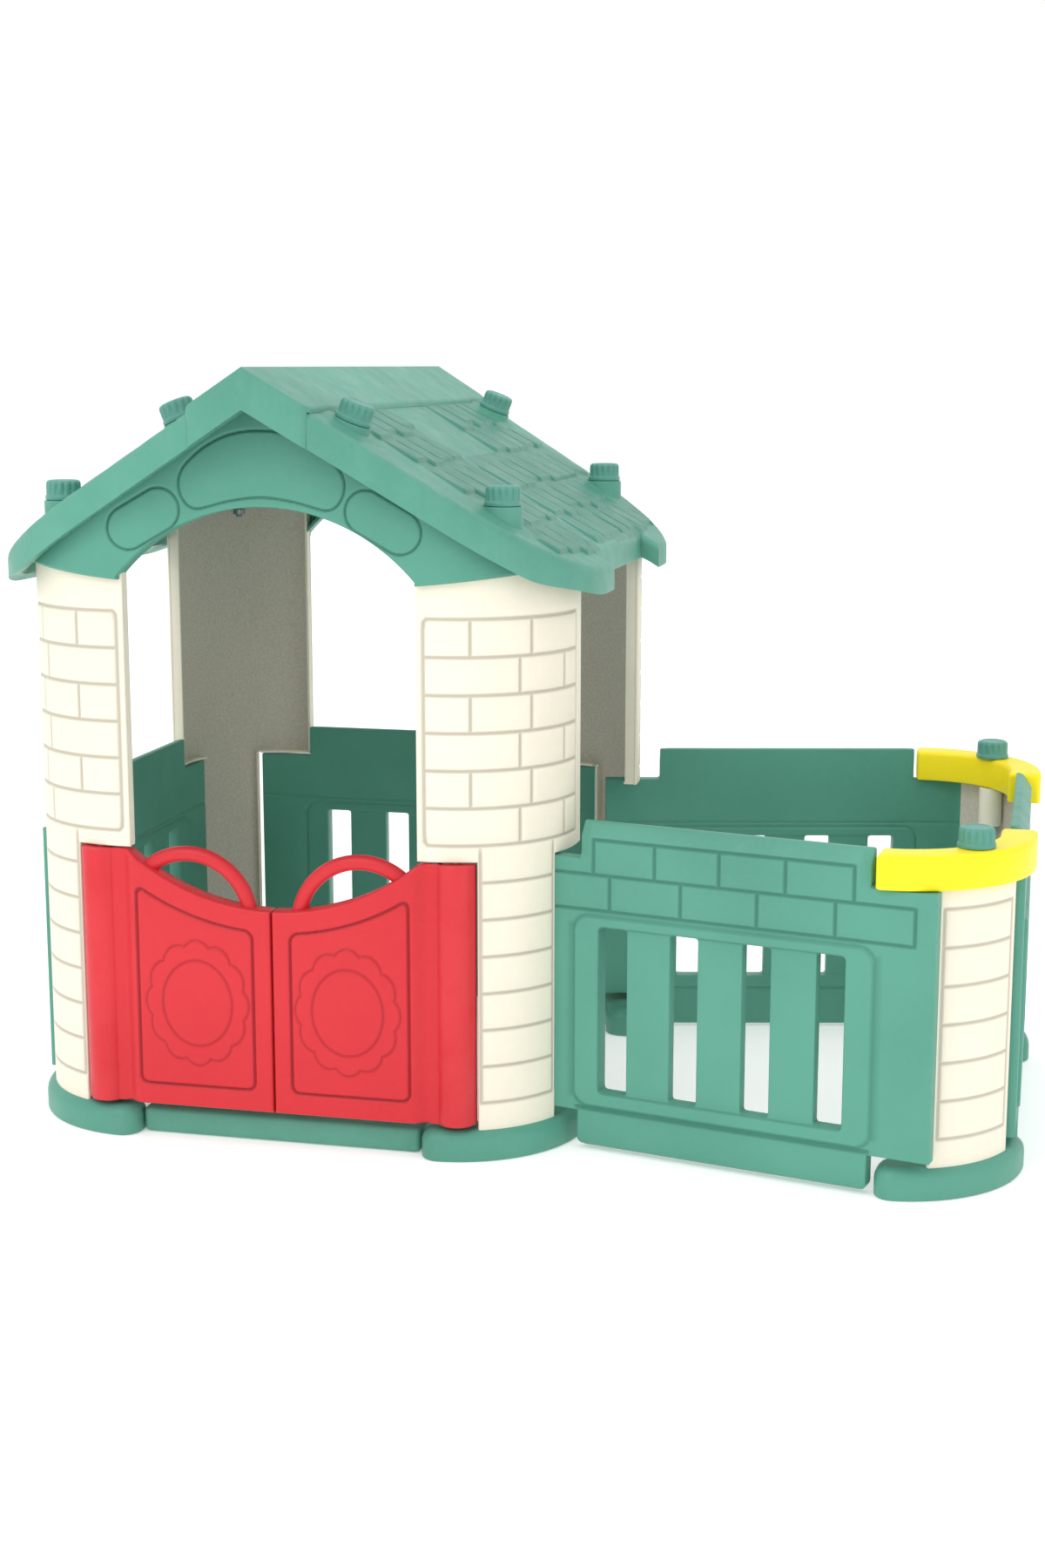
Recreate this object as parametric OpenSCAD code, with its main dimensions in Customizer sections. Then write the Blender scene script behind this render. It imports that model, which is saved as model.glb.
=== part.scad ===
// Plastic playhouse: a small house with saloon doors and a fenced yard.
// X to the right, Y to the back, Z up. Origin on the ground, at the middle
// of the whole outline. The house stands on the left, the yard on the right.

/* [House] */
// Outer width of the house across its corner pillars
house_w = 880; // [860:5:900]
// Outer depth of the house across its corner pillars
house_d = 900; // [880:5:920]
// Height of the ridge above the ground
ridge_h = 1200; // [1180:5:1230]
// Outer radius of every corner, house and yard
corner_r = 188; // [184:1:192]
// Rise of the roof per millimetre of run
roof_slope = 0.61; // [0.58:0.01:0.64]
// Overhang of the roof past the pillars
roof_over = 43; // [35:1:50]
// Vertical depth of the barge boards and eaves
barge_h = 53; // [45:1:60]

/* [Walls] */
// Wall thickness of the moulded shells
wall_t = 5; // [4:0.5:6]
// Height of the step under the wide part of a pillar
step_h = 467; // [460:1:470]
// Height of the top edge of the fence panels
fence_h = 520; // [510:1:524]
// Thickness of the fence panels
fence_t = 26; // [22:1:28]
// Half the length of the high part of a panel
fence_half = 230; // [222:1:230]
// Half the length of a panel over its end tabs
tab_half = 328; // [318:1:328]
// Width of one window slot
slot_w = 45; // [40:1:48]

/* [Doors] */
// Distance of a door hinge from the middle of the doorway
hinge_x = 287; // [285:1:288]
// Radius of the hinge barrel
barrel_r = 31; // [28:0.5:31]
// Thickness of a door leaf
leaf_t = 34; // [30:1:36]
// Radius of a hinge pin
pin_r = 8; // [6:0.5:9]
// Clearance between a pin and its bore
pin_gap = 0.08; // [0.05:0.01:0.1]

/* [Knobs] */
// Radius of a screw knob
knob_r = 27; // [24:0.5:28]
// Height of the grip of a screw knob
knob_h = 30; // [24:1:32]
// Radius of the threaded stem
stem_r = 6; // [5:0.5:6.5]

/* [Yard] */
// Angle by which the front and rear fences open outwards
splay = 13; // [12:0.5:14]
// Middle of the front fence along X, from the middle of the house
fence_x = 686; // [684:1:688]
// Centre of the yard corners along X, from the middle of the house
yard_cx = 938; // [936:1:940]
// Centre of the yard corners along Y
yard_cy = 270; // [268:1:272]

/* [Hidden] */
$fn = 96;
e = 2;
// tiny inset that keeps joined faces from coinciding
t = 0.2;
acx = house_w/2 - corner_r;
acy = house_d/2 - corner_r;
door_half = house_w/2 - 209;
flange = 22;
foot_h = 47;
skin_z = ridge_h - 8;
under_z = skin_z - 8;
ov_r = corner_r + roof_over;
apex_y = house_d/2 + roof_over + 40;
cap_proud = 15;
yard_x = yard_cx + corner_r;
origin_x = (yard_x + cap_proud - (house_w/2 + roof_over))/2;
// outer plane of the splayed fence at x = fence_x
fence_y = -(yard_cy + corner_r/cos(splay) + (fence_x - yard_cx)*tan(splay));
hinge_y = -(house_d/2 - 20);
pillar_a0 = 22;
rear_a0 = 27;
gable_t = 14;
knob_lo = [350, 385];
knob_up = [130, 431];
up_tilt = 22;

module place() { translate([-origin_x, 0, 0]) children(); }
module flip_x(on) { mirror([on ? 1 : 0, 0, 0]) children(); }
module flip_y(on) { mirror([0, on ? 1 : 0, 0]) children(); }
// ring sector; angles run from the front normal (0) to the right side normal (90)
module ring(r0, r1, a0, a1, z0, z1) {
  translate([0, 0, z0]) rotate([0, 0, a0 - 90])
    rotate_extrude(angle = a1 - a0) translate([r0, 0]) square([r1 - r0, z1 - z0]);
}
module box(x0, x1, y0, y1, z0, z1) { translate([x0, y0, z0]) cube([x1 - x0, y1 - y0, z1 - z0]); }
// everything under the sloping roof line that passes z at x = 0
module under_roof(z, y = 700) {
  rotate([90, 0, 0]) linear_extrude(height = 2*y, center = true)
    polygon([[0, z], [700, z - 700*roof_slope], [700, -100], [-700, -100], [-700, z - 700*roof_slope]]);
}
// sloping slab between two roof lines, on the right side only
module slab(z1, z0, x0, x1) {
  rotate([90, 0, 0]) linear_extrude(height = 1400, center = true)
    polygon([[x0, z1 - x0*roof_slope], [x1, z1 - x1*roof_slope], [x1, z0 - x1*roof_slope], [x0, z0 - x0*roof_slope]]);
}

// ---------------------------------------------------------------- pillars
module pillar(a0, a1, sh) {
  w = wall_t; R = corner_r; xe = house_w/2; ye = house_d/2; side = ye - 205;
  difference() {
    union() {
      intersection() {
        union() {
          translate([acx, -acy, 0]) ring(R - w, R, 0, 90, step_h, ridge_h);
          box(door_half, acx + e, -ye + t, -ye + w - t, step_h + t, ridge_h);
          box(door_half, door_half + w, -ye + t, -ye + flange, step_h + t, ridge_h);
          box(xe - w + t, xe - t, -acy - e, -side, step_h + t, ridge_h);
          box(xe - flange, xe - t, -side - w, -side, step_h + t, ridge_h);
          // seat for the roof knob
          translate([knob_lo[0], -knob_lo[1], 936]) rotate([0, 0, 128]) cylinder(r = 28, h = 160);
        }
        under_roof(under_z - 0.5);
      }
      // ledge that closes the wide part from below
      translate([acx, -acy, 0]) ring(R - 45, R - 0.7, 1, 89, step_h + 0.1, step_h + w);
      box(door_half + 0.5, acx + 6, -ye + 0.7, -ye + flange, step_h + 0.3, step_h + w - t);
      box(xe - flange, xe - 0.7, -acy - 6, -side - 0.5, step_h + 0.3, step_h + w - t);
      // narrow part
      translate([acx, -acy, 0]) ring(R - w - 1, R - 1, a0, a1, 27.5, step_h + 1);
      translate([acx, -acy, 0]) ring(R - 17, R - 3, a0 + 0.4, a0 + 2, 48, step_h + 2);
      if (sh) translate([hinge_x, hinge_y, step_h]) cylinder(r = 13, h = 36);
    }
    if (sh) translate([hinge_x, hinge_y, step_h - 1]) cylinder(r = pin_r + 0.02, h = 60);
    translate([knob_lo[0], -knob_lo[1], 800]) cylinder(r = stem_r + 0.1, h = 300);
  }
}
module pillar_front_right() { color("cornsilk") place() pillar(pillar_a0, 62, true); }
module pillar_front_left() { color("cornsilk") place() flip_x(true) pillar(pillar_a0, 67, true); }
module pillar_rear_right() { color("cornsilk") place() flip_y(true) pillar(rear_a0, 62, false); }
module pillar_rear_left() { color("cornsilk") place() flip_x(true) flip_y(true) pillar(rear_a0, 67, false); }

// ---------------------------------------------------------------- gables
gable_z = 883;
arch_r = 310;
arch_top = 995;
module arch(r, x) {
  // arched opening: a wide round top over short straight sides
  intersection() {
    translate([0, 0, arch_top - arch_r]) rotate([90, 0, 0]) cylinder(r = r, h = 1400, center = true);
    box(-x, x, -700, 700, 600, 1200);
  }
}
module gable() {
  R = corner_r; ye = house_d/2;
  difference() {
    union() {
      difference() {
        intersection() {
          union() {
            box(-acx - e, acx + e, -ye - gable_t + t, -ye - 0.5 - t, gable_z, ridge_h);
            for (s = [0, 1]) flip_x(s == 1) translate([acx, -acy, 0]) ring(R + 0.5, R + gable_t, 0, 80, gable_z, ridge_h);
          }
          under_roof(under_z - 0.5);
        }
        arch(arch_r, door_half + 3);
      }
      // lip round the arch, between the pillars
      intersection() {
        difference() { arch(arch_r + 6, door_half - 1); arch(arch_r, 400); }
        box(-door_half + 1, door_half - 1, -ye - gable_t + 1, -ye + 20, gable_z, ridge_h);
      }
      // seats for the upper roof knobs
      for (s = [0, 1]) flip_x(s == 1) intersection() {
        translate([knob_up[0], -knob_up[1], skin_z - knob_up[0]*roof_slope]) rotate([0, up_tilt, 0])
          translate([0, 0, -75]) cylinder(r = 21, h = 110);
        under_roof(under_z - 0.5);
      }
    }
    for (s = [0, 1]) flip_x(s == 1)
      translate([knob_up[0], -knob_up[1], skin_z - knob_up[0]*roof_slope]) rotate([0, up_tilt, 0])
        translate([0, 0, -100]) cylinder(r = stem_r + 0.1, h = 200);
  }
}
module gable_front() { color("mediumaquamarine") place() gable(); }
module gable_rear() { color("mediumaquamarine") place() flip_y(true) gable(); }

// ---------------------------------------------------------------- roof
// plan of the roof, inset by d: rounded corners, apexes pushed forward
module plan(d, z0, z1, notch) {
  r = ov_r - d; ay = apex_y - d;
  L = sqrt(acx*acx + (ay - acy)*(ay - acy));
  t = atan2(ay - acy, acx) - asin(r/L);
  q = sqrt(L*L - r*r);
  tx = q*cos(t); ty = ay - q*sin(t);
  xr = acx + r;
  difference() {
    translate([0, 0, z0]) union() {
      for (sx = [-1, 1], sy = [-1, 1]) translate([sx*acx, sy*acy, 0]) cylinder(r = r, h = z1 - z0);
      linear_extrude(height = z1 - z0)
        polygon([[0, -ay], [tx, -ty], [xr, -acy], [xr, acy], [tx, ty], [0, ay], [-tx, ty], [-xr, acy], [-xr, -acy], [-tx, -ty]]);
    }
    if (notch) for (s = [-1, 1]) translate([s*(xr + 70 - 31), 0, 0]) cube([140, 2*(200 + d), 4000], center = true);
  }
}
module knob_pad(r, h) {
  // round seat on the slope, kept above the skin
  intersection() { children(); slab(skin_z + 80, skin_z - 6, 0, 470); }
}
module roof_half() {
  difference() {
    union() {
      difference() {
        intersection() { slab(skin_z, skin_z - barge_h, 0.3, 560); plan(0, 700, 1300, true); }
        intersection() { slab(under_z, skin_z - barge_h - 60, -20, 560); plan(24, 700, 1300, true); }
      }
      for (s = [0, 1]) flip_y(s == 1) {
        intersection() {
          translate([knob_lo[0], -knob_lo[1], 900]) cylinder(r = 30, h = skin_z - (knob_lo[0] - 28)*roof_slope - 900 + 2);
          slab(skin_z + 80, skin_z - 6, 0, 470);
        }
        intersection() {
          translate([knob_up[0], -knob_up[1], skin_z - knob_up[0]*roof_slope]) rotate([0, up_tilt, 0])
            translate([0, 0, -30]) cylinder(r = 30, h = 30 + 9);
          slab(skin_z + 80, skin_z - 6, 0, 470);
        }
      }
    }
    for (s = [0, 1]) flip_y(s == 1) {
      translate([knob_lo[0], -knob_lo[1], 800]) cylinder(r = stem_r + 0.1, h = 300);
      translate([knob_up[0], -knob_up[1], skin_z - knob_up[0]*roof_slope]) rotate([0, up_tilt, 0])
        translate([0, 0, -100]) cylinder(r = stem_r + 0.1, h = 200);
    }
  }
}
module roof_right() { color("mediumaquamarine") place() roof_half(); }
module roof_left() { color("mediumaquamarine") place() flip_x(true) roof_half(); }
module ridge_cap() {
  color("mediumaquamarine") place() difference() {
    intersection() {
      union() for (s = [0, 1]) flip_x(s == 1) slab(ridge_h, skin_z - barge_h, 0, 95);
      plan(-6, 900, 1300, false);
    }
    intersection() {
      union() for (s = [0, 1]) flip_x(s == 1) slab(skin_z + 0.3, skin_z - barge_h - 60, 0, 200);
      plan(-0.3, 800, 1400, false);
    }
  }
}

// ---------------------------------------------------------------- doors
top_r = 365;
top_z = 379;
hoop_c = [140, 358];
leaf_y = hinge_y - barrel_r;
module door() {
  difference() {
    union() {
      translate([hinge_x, hinge_y, 54]) cylinder(r = barrel_r, h = step_h - 3 - 54);
      difference() {
        box(1.5, 248, leaf_y, leaf_y + leaf_t, 56, step_h - 3);
        translate([0, hinge_y, top_z + top_r]) rotate([90, 0, 0]) cylinder(r = top_r, h = 120, center = true, $fn = 180);
      }
      // web between the leaf and the barrel, set back from the leaf's face
      box(240, hinge_x - 10, leaf_y + 12, leaf_y + leaf_t - 6, 57, step_h - 4);
      // arched handle
      translate([hoop_c[0], hinge_y - 9, hoop_c[1]]) rotate([90, 0, 0]) rotate([0, 0, 24])
        rotate_extrude(angle = 148) translate([101, 0]) circle(r = 12, $fn = 48);
    }
    translate([hinge_x, hinge_y, 50]) cylinder(r = pin_r + pin_gap, h = 48);
    translate([hinge_x, hinge_y, step_h - 38]) cylinder(r = pin_r + pin_gap, h = 48);
  }
}
module door_right() { color("crimson") place() door(); }
module door_left() { color("crimson") place() flip_x(true) door(); }
module door_hinge_pins() {
  color("silver") place() for (s = [0, 1]) flip_x(s == 1) translate([hinge_x, hinge_y, 0]) {
    translate([0, 0, 20.2]) cylinder(r = pin_r, h = 74);
    translate([0, 0, step_h - 34]) cylinder(r = pin_r, h = 69);
  }
}
module threshold() {
  color("mediumaquamarine") place() box(-door_half + 2, door_half - 2, -house_d/2 + 14, -house_d/2 + 96, 0, 42);
}

// ---------------------------------------------------------------- feet
module foot(a0, a1, sh) {
  ye = house_d/2; xe = house_w/2;
  difference() {
    union() {
      translate([acx, -acy, 0]) ring(130, 202, 0, 90, 0, foot_h);
      box(sh ? door_half + 1 : 240, acx + e, -acy - 202 + t, -acy - 130 - t, 0, foot_h - t);
      box(acx + 130 + t, acx + 202 - t, -acy - e, -ye + 204, 0, foot_h - t);
    }
    translate([acx, -acy, 0]) ring(corner_r - wall_t - 1.5, corner_r - 0.5, a0 - 0.3, a1 + 0.3, 27, foot_h + 1);
    if (sh) translate([hinge_x, hinge_y, 20]) cylinder(r = pin_r + 0.02, h = 60);
  }
}
module foot_front_right() { color("mediumaquamarine") place() foot(pillar_a0, 62, true); }
module foot_front_left() { color("mediumaquamarine") place() flip_x(true) foot(pillar_a0, 67, true); }
module foot_rear_right() { color("mediumaquamarine") place() flip_y(true) foot(rear_a0, 62, false); }
module foot_rear_left() { color("mediumaquamarine") place() flip_x(true) flip_y(true) foot(rear_a0, 67, false); }

// ---------------------------------------------------------------- fence panels
// outer face on y = 0, looking towards -Y
module panel() {
  difference() {
    union() {
      box(-tab_half, tab_half, 0, fence_t, 62, step_h - 3);
      box(-fence_half, fence_half, 0, fence_t, 61, fence_h);
      box(-235, 235, 2, fence_t, 5, 62);
      // raised frame of the window
      box(-241, 241, -5, 0.5, 70, 376);
      // the two courses of bricks, as one raised band
      box(-fence_half + 8, fence_half - 8, -2.5, 0.5, 386, 494);
    }
    for (x = [-173.5, -58, 58, 173.5]) box(x - slot_w/2, x + slot_w/2, -20, fence_t + 20, 96, 359);
  }
}
module wall_panel_left() { color("mediumaquamarine") place() translate([-house_w/2 + 4, 0, 0]) rotate([0, 0, -90]) panel(); }
module wall_panel_rear() { color("mediumaquamarine") place() translate([0, house_d/2 - 4, 0]) rotate([0, 0, 180]) panel(); }
module fence_f() { translate([fence_x, fence_y, 0]) rotate([0, 0, -splay]) panel(); }
module fence_front() { color("mediumaquamarine") place() fence_f(); }
module fence_rear() { color("mediumaquamarine") place() flip_y(true) fence_f(); }
module fence_side() { color("mediumaquamarine") place() translate([yard_x, 0, 0]) rotate([0, 0, 90]) panel(); }

// ---------------------------------------------------------------- yard corners
cap_k = 165;
post_a0 = 20;
post_a1 = 69;
module post() {
  difference() {
    translate([yard_cx, -yard_cy, 0]) union() {
      ring(corner_r - wall_t, corner_r, post_a0, post_a1, 27.5, step_h - 2);
      rotate([0, 0, -45]) translate([cap_k, 0, 395]) rotate([0, 0, 180]) cylinder(r = 20, h = step_h - 3 - 395);
    }
    translate([yard_cx, -yard_cy, 0]) rotate([0, 0, -45]) translate([cap_k, 0, 300]) cylinder(r = stem_r + 0.1, h = 300);
  }
}
module yard_cap() {
  difference() {
    translate([yard_cx, -yard_cy, 0]) union() {
      ring(148, corner_r + cap_proud, -6, 90, step_h - 1.5, fence_h - 2.5);
      box(148 + t, corner_r + cap_proud - t, -e, yard_cy - 237, step_h - 1.5 + t, fence_h - 2.5 - t);
    }
    translate([yard_cx, -yard_cy, 0]) rotate([0, 0, -45]) translate([cap_k, 0, 300]) cylinder(r = stem_r + 0.1, h = 300);
  }
}
module yard_foot() {
  difference() {
    translate([yard_cx, -yard_cy, 0]) union() {
      ring(130, 202, -4, 90, 0, foot_h);
      box(130 + t, 202 - t, -e, yard_cy - 246, t, foot_h - t);
    }
    translate([yard_cx, -yard_cy, 0]) ring(corner_r - wall_t - 0.5, corner_r + 0.5, post_a0 - 0.3, post_a1 + 0.3, 27, foot_h + 1);
  }
}
module yard_post_front() { color("cornsilk") place() post(); }
module yard_post_rear() { color("cornsilk") place() flip_y(true) post(); }
module yard_cap_front() { color("yellow") place() yard_cap(); }
module yard_cap_rear() { color("yellow") place() flip_y(true) yard_cap(); }
module yard_foot_front() { color("mediumaquamarine") place() yard_foot(); }
module yard_foot_rear() { color("mediumaquamarine") place() flip_y(true) yard_foot(); }

// ---------------------------------------------------------------- knobs
// seat on z = 0, grip above, threaded stem below
module knob(stem) {
  r = knob_r; h = knob_h;
  difference() {
    rotate_extrude() polygon([[0, 0], [r - 1, 0], [r + 1, 2], [r + 1, 6], [r, 7], [r, h - 4], [r - 4, h], [0, h]]);
    for (i = [0:11]) rotate([0, 0, 30*i]) translate([r + 2, 0, 8]) cylinder(r = 3.6, h = h, $fn = 24);
  }
  translate([0, 0, -stem]) cylinder(r = stem_r, h = stem + 1);
}
lo_top = skin_z - (knob_lo[0] - 28)*roof_slope + 2;
module at_lo() { translate([knob_lo[0], -knob_lo[1], lo_top + 0.3]) children(); }
module at_up() {
  translate([knob_up[0], -knob_up[1], skin_z - knob_up[0]*roof_slope]) rotate([0, up_tilt, 0])
    translate([0, 0, 9.3]) children();
}
module at_cap() {
  translate([yard_cx, -yard_cy, fence_h - 2.2]) rotate([0, 0, -45]) translate([cap_k, 0, 0]) children();
}
lo_stem = lo_top + 0.3 - 922;
module roof_knob_fr_low() { color("seagreen") place() at_lo() knob(lo_stem); }
module roof_knob_fr_high() { color("seagreen") place() at_up() knob(100); }
module roof_knob_fl_low() { color("seagreen") place() flip_x(true) at_lo() knob(lo_stem); }
module roof_knob_fl_high() { color("seagreen") place() flip_x(true) at_up() knob(100); }
module roof_knob_rr_low() { color("seagreen") place() flip_y(true) at_lo() knob(lo_stem); }
module roof_knob_rr_high() { color("seagreen") place() flip_y(true) at_up() knob(100); }
module roof_knob_rl_low() { color("seagreen") place() flip_x(true) flip_y(true) at_lo() knob(lo_stem); }
module roof_knob_rl_high() { color("seagreen") place() flip_x(true) flip_y(true) at_up() knob(100); }
module cap_knob_front() { color("seagreen") place() at_cap() knob(145); }
module cap_knob_rear() { color("seagreen") place() flip_y(true) at_cap() knob(145); }
module nut() { difference() { cylinder(r = 11, h = 9); translate([0, 0, -1]) cylinder(r = stem_r + 0.1, h = 20); } }
module roof_knob_nuts() {
  color("silver") place() for (sx = [0, 1], sy = [0, 1]) flip_x(sx == 1) flip_y(sy == 1) {
    translate([knob_lo[0], -knob_lo[1], 926.8]) nut();
    at_up() translate([0, 0, -9.3 - 75 - 9.2]) nut();
  }
}
module cap_knob_nuts() {
  color("silver") place() for (sy = [0, 1]) flip_y(sy == 1)
    translate([yard_cx, -yard_cy, 395 - 9.2]) rotate([0, 0, -45]) translate([cap_k, 0, 0]) nut();
}

pillar_front_left();
pillar_front_right();
pillar_rear_left();
pillar_rear_right();
gable_front();
gable_rear();
roof_left();
roof_right();
ridge_cap();
door_left();
door_right();
door_hinge_pins();
threshold();
foot_front_left();
foot_front_right();
foot_rear_left();
foot_rear_right();
wall_panel_left();
wall_panel_rear();
fence_front();
fence_rear();
fence_side();
yard_post_front();
yard_post_rear();
yard_cap_front();
yard_cap_rear();
yard_foot_front();
yard_foot_rear();
roof_knob_fl_low();
roof_knob_fl_high();
roof_knob_fr_low();
roof_knob_fr_high();
roof_knob_rl_low();
roof_knob_rl_high();
roof_knob_rr_low();
roof_knob_rr_high();
cap_knob_front();
cap_knob_rear();
roof_knob_nuts();
cap_knob_nuts();
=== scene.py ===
# Plastic playhouse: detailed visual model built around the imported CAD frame.
import math
import bpy
import bmesh
import numpy as np
from mathutils import Matrix, Vector


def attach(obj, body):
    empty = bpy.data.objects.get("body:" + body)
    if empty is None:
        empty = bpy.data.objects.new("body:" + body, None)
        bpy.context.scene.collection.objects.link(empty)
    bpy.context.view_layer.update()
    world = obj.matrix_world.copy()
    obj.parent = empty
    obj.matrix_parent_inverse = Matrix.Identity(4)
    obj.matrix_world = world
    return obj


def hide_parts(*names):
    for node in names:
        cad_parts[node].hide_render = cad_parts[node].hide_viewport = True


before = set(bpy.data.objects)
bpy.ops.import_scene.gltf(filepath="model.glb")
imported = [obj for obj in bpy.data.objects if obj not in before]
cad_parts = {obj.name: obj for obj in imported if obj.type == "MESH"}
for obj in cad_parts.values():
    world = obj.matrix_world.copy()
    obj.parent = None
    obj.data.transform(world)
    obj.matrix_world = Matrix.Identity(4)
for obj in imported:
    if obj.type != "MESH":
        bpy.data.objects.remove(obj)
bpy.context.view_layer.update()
OX = 329.0          # house centre to frame origin, mm
PI = math.pi

# ------------------------------------------------------------------ helpers
def lines(lo, hi, marks, step, tol=0.12):
    """sorted grid lines that pass through every mark, with no gap above step"""
    pts = sorted([lo, hi] + [m for m in marks if lo < m < hi])
    out = [pts[0]]
    for p in pts[1:]:
        if p - out[-1] >= tol:
            out.append(p)
    out[-1] = hi
    full = [out[0]]
    for a, b in zip(out, out[1:]):
        n = max(1, math.ceil((b - a) / step - 1e-6))
        full += [a + (b - a) * k / n for k in range(1, n + 1)]
    return np.array(full)


def gm(c, w):
    """grid lines across a groove at c with half width w"""
    return [c - w, c - 0.62 * w, c - 0.25 * w, c + 0.25 * w, c + 0.62 * w, c + w]


def em(p, r, s):
    """grid lines along a rounded edge at p; s is the side the material lies on"""
    return [p, p + s * 0.08 * r, p + s * 0.28 * r, p + s * 0.6 * r, p + s * r]


def box_sdf(u, v, u0, u1, v0, v1):
    a = np.abs(u - (u0 + u1) / 2) - (u1 - u0) / 2
    b = np.abs(v - (v0 + v1) / 2) - (v1 - v0) / 2
    return np.hypot(np.maximum(a, 0), np.maximum(b, 0)) + np.minimum(np.maximum(a, b), 0)


def rbox_sdf(u, v, u0, u1, v0, v1, r):
    return box_sdf(u, v, u0 + r, u1 - r, v0 + r, v1 - r) - r


def round_max(a, b, r):
    return np.minimum(-r, np.maximum(a, b)) + np.hypot(np.maximum(a + r, 0), np.maximum(b + r, 0))


def seg_d(u, v, s):
    u0, v0, u1, v1 = s
    dx, dy = u1 - u0, v1 - v0
    L = dx * dx + dy * dy
    t = np.clip(((u - u0) * dx + (v - v0) * dy) / max(L, 1e-9), 0, 1)
    return np.hypot(u - u0 - t * dx, v - v0 - t * dy)


def bell(d, w):
    return 0.5 + 0.5 * np.cos(PI * np.clip(d / w, 0, 1))


def cut(u, v, segs, w):
    g = np.zeros_like(u)
    for s in segs:
        g = np.maximum(g, bell(seg_d(u, v, s[:4]), s[4] if len(s) > 4 else w))
    return g


def sstep(x, a, b):
    t = np.clip((x - a) / (b - a), 0, 1)
    return t * t * (3 - 2 * t)


def fillet(s, r):
    """how far a surface drops within r of its outline, for an outline distance s <= 0"""
    d = np.clip(-s, 0, r)
    return r - np.sqrt(np.maximum(r * r - (r - d) ** 2, 0))


def finish_mesh(name, verts, faces, body, attrs=None, sharp=38):
    me = bpy.data.meshes.new(name)
    v = np.asarray(verts, float) / 1000.0
    v[:, 0] -= OX / 1000.0
    me.from_pydata([tuple(p) for p in v], [], [tuple(int(i) for i in f) for f in faces])
    me.validate()
    for k, vals in (attrs or {}).items():
        at = me.attributes.new(k, "FLOAT", "POINT")
        at.data.foreach_set("value", np.asarray(vals, np.float32))
    me.polygons.foreach_set("use_smooth", [True] * len(me.polygons))
    me.set_sharp_from_angle(angle=math.radians(sharp))
    me.update()
    ob = bpy.data.objects.new(name, me)
    bpy.context.scene.collection.objects.link(ob)
    ob["body_name"] = body
    return ob


def relief(name, us, vs, sdf, top, back, place, body, painted_shade=None, sharp=38):
    """closed moulded panel: relief surface, walls and back over one 2D outline"""
    U, V = np.meshgrid(us, vs, indexing="ij")
    S = sdf(U, V) if sdf else np.full_like(U, -1.0)
    S = np.where(np.abs(S) < 1e-3, 0.0, S)
    nu, nv = U.shape
    idx = np.arange(nu * nv).reshape(nu, nv)
    a, b, c, d = idx[:-1, :-1], idx[1:, :-1], idx[1:, 1:], idx[:-1, 1:]
    sf = S.ravel()
    quad = np.stack([a, b, c, d], -1).reshape(-1, 4)
    sq = sf[quad]
    some = (sq < 0).any(1)
    full = some & (sq <= 0).all(1)
    part = some & ~full
    faces = [tuple(q) for q in quad[full]]
    uu, vv = list(U.ravel()), list(V.ravel())
    cross = {}
    for q in quad[part]:
        poly = []
        for k in range(4):
            p0, p1 = int(q[k]), int(q[(k + 1) % 4])
            if sf[p0] <= 0:
                poly.append(p0)
            if sf[p0] * sf[p1] < 0:
                key = (min(p0, p1), max(p0, p1))
                if key not in cross:
                    t = sf[key[0]] / (sf[key[0]] - sf[key[1]])
                    cross[key] = len(uu)
                    uu.append(uu[key[0]] + t * (uu[key[1]] - uu[key[0]]))
                    vv.append(vv[key[0]] + t * (vv[key[1]] - vv[key[0]]))
                poly.append(cross[key])
        if len(poly) >= 3:
            faces.append(tuple(poly))
    used = sorted({i for f in faces for i in f})
    remap = {o: n for n, o in enumerate(used)}
    faces = [tuple(remap[i] for i in f) for f in faces]
    uu = np.array([uu[i] for i in used])
    vv = np.array([vv[i] for i in used])
    su = sdf(uu, vv) if sdf else np.full_like(uu, -1.0)
    n = len(uu)
    wt = top(uu, vv, np.minimum(su, 0))
    wb = back(uu, vv, np.minimum(su, 0)) if callable(back) else np.full_like(uu, float(back))
    P = np.vstack([place(uu, vv, wt), place(uu, vv, wb)])
    cm, cn = np.array([uu.mean()]), np.array([vv.mean()])
    o = place(cm, cn, np.zeros(1))[0]
    e1 = place(cm + 1, cn, np.zeros(1))[0] - o
    e2 = place(cm, cn + 1, np.zeros(1))[0] - o
    e3 = place(cm, cn, np.ones(1))[0] - o
    hand = np.dot(np.cross(e1, e2), e3)
    directed = set()
    for f in faces:
        for k in range(len(f)):
            directed.add((f[k], f[(k + 1) % len(f)]))
    walls = [(q, p, p + n, q + n) for p, q in directed if (q, p) not in directed]
    walls.sort()
    allf = faces + [tuple(i + n for i in reversed(f)) for f in faces] + walls
    if hand < 0:
        allf = [tuple(reversed(f)) for f in allf]
    # front vertices carry the painted shade amount from the given function, back vertices none
    cv = np.concatenate([painted_shade(uu, vv, su) if painted_shade else np.zeros(n), np.zeros(n)])
    inner = np.concatenate([np.zeros(n), np.ones(n)])
    return finish_mesh(name, P, allf, body, {"painted_shade": cv, "inner": inner}, sharp)


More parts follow.
